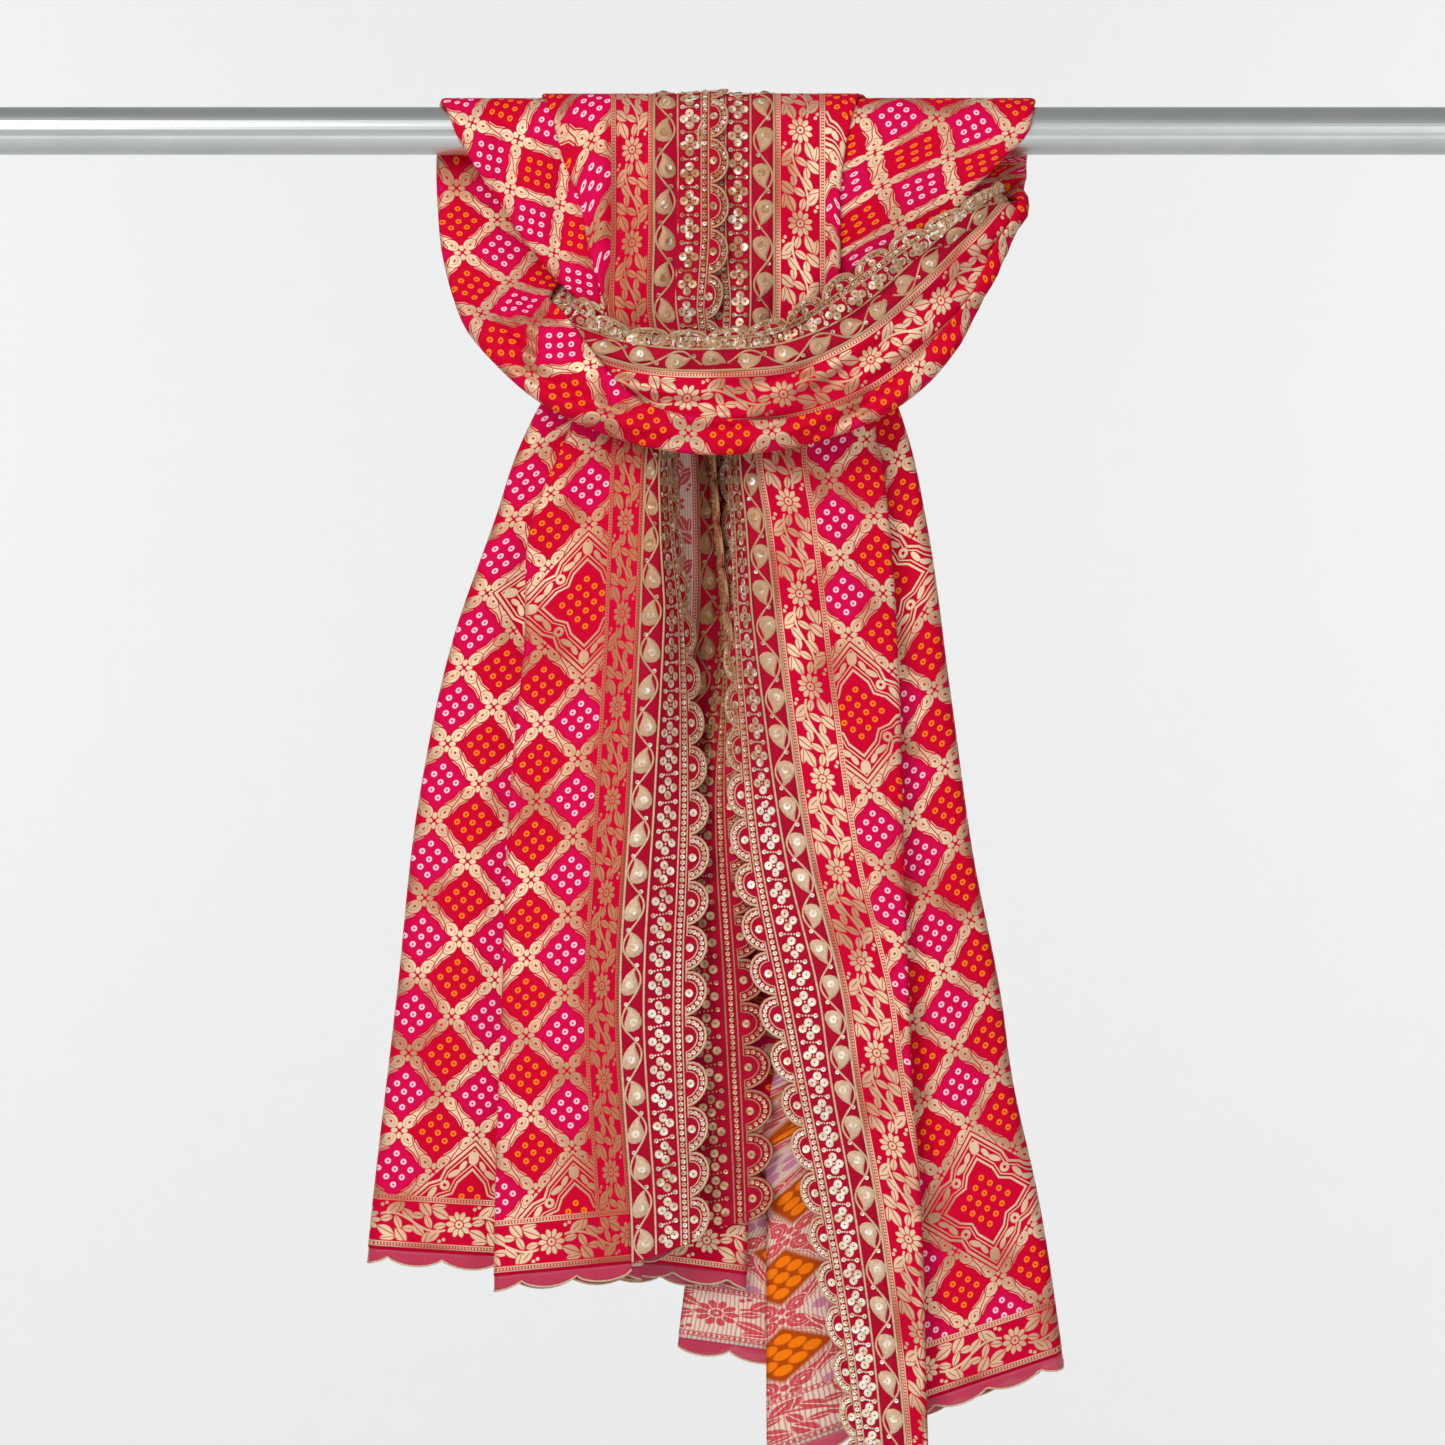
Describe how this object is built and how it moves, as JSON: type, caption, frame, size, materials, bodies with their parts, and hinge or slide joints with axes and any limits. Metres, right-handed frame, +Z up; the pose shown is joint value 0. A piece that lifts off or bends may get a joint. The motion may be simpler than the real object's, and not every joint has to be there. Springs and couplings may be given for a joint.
{
  "type": "bandhani cloth on a rail",
  "caption": "Long tie-dyed cloth folded lengthwise and looped over a plain round rail by its middle, with both ends drawn down through the loop; scalloped lace on its long edges.",
  "frame": {"origin": "centre of the rail's left end face, left as seen from the front", "axes": "+X along the rail to the right as seen from the front, +Y away from the viewer, +Z up"},
  "size_m": [1.1, 0.122, 0.9567],
  "materials": {
    "cloth": "red georgette, tie-dyed and figured with gold thread",
    "lace": "red ground covered with gold thread, beads and sequins",
    "organza": "sheer pink organza",
    "rail": "polished steel"
  },
  "bodies": {
    "root": {"cloth": "cloth", "lace_border_a": "lace", "lace_border_b": "lace", "hem_edging_left": "organza", "hem_edging_right": "organza", "rail": "rail"}
  },
  "joints": []
}
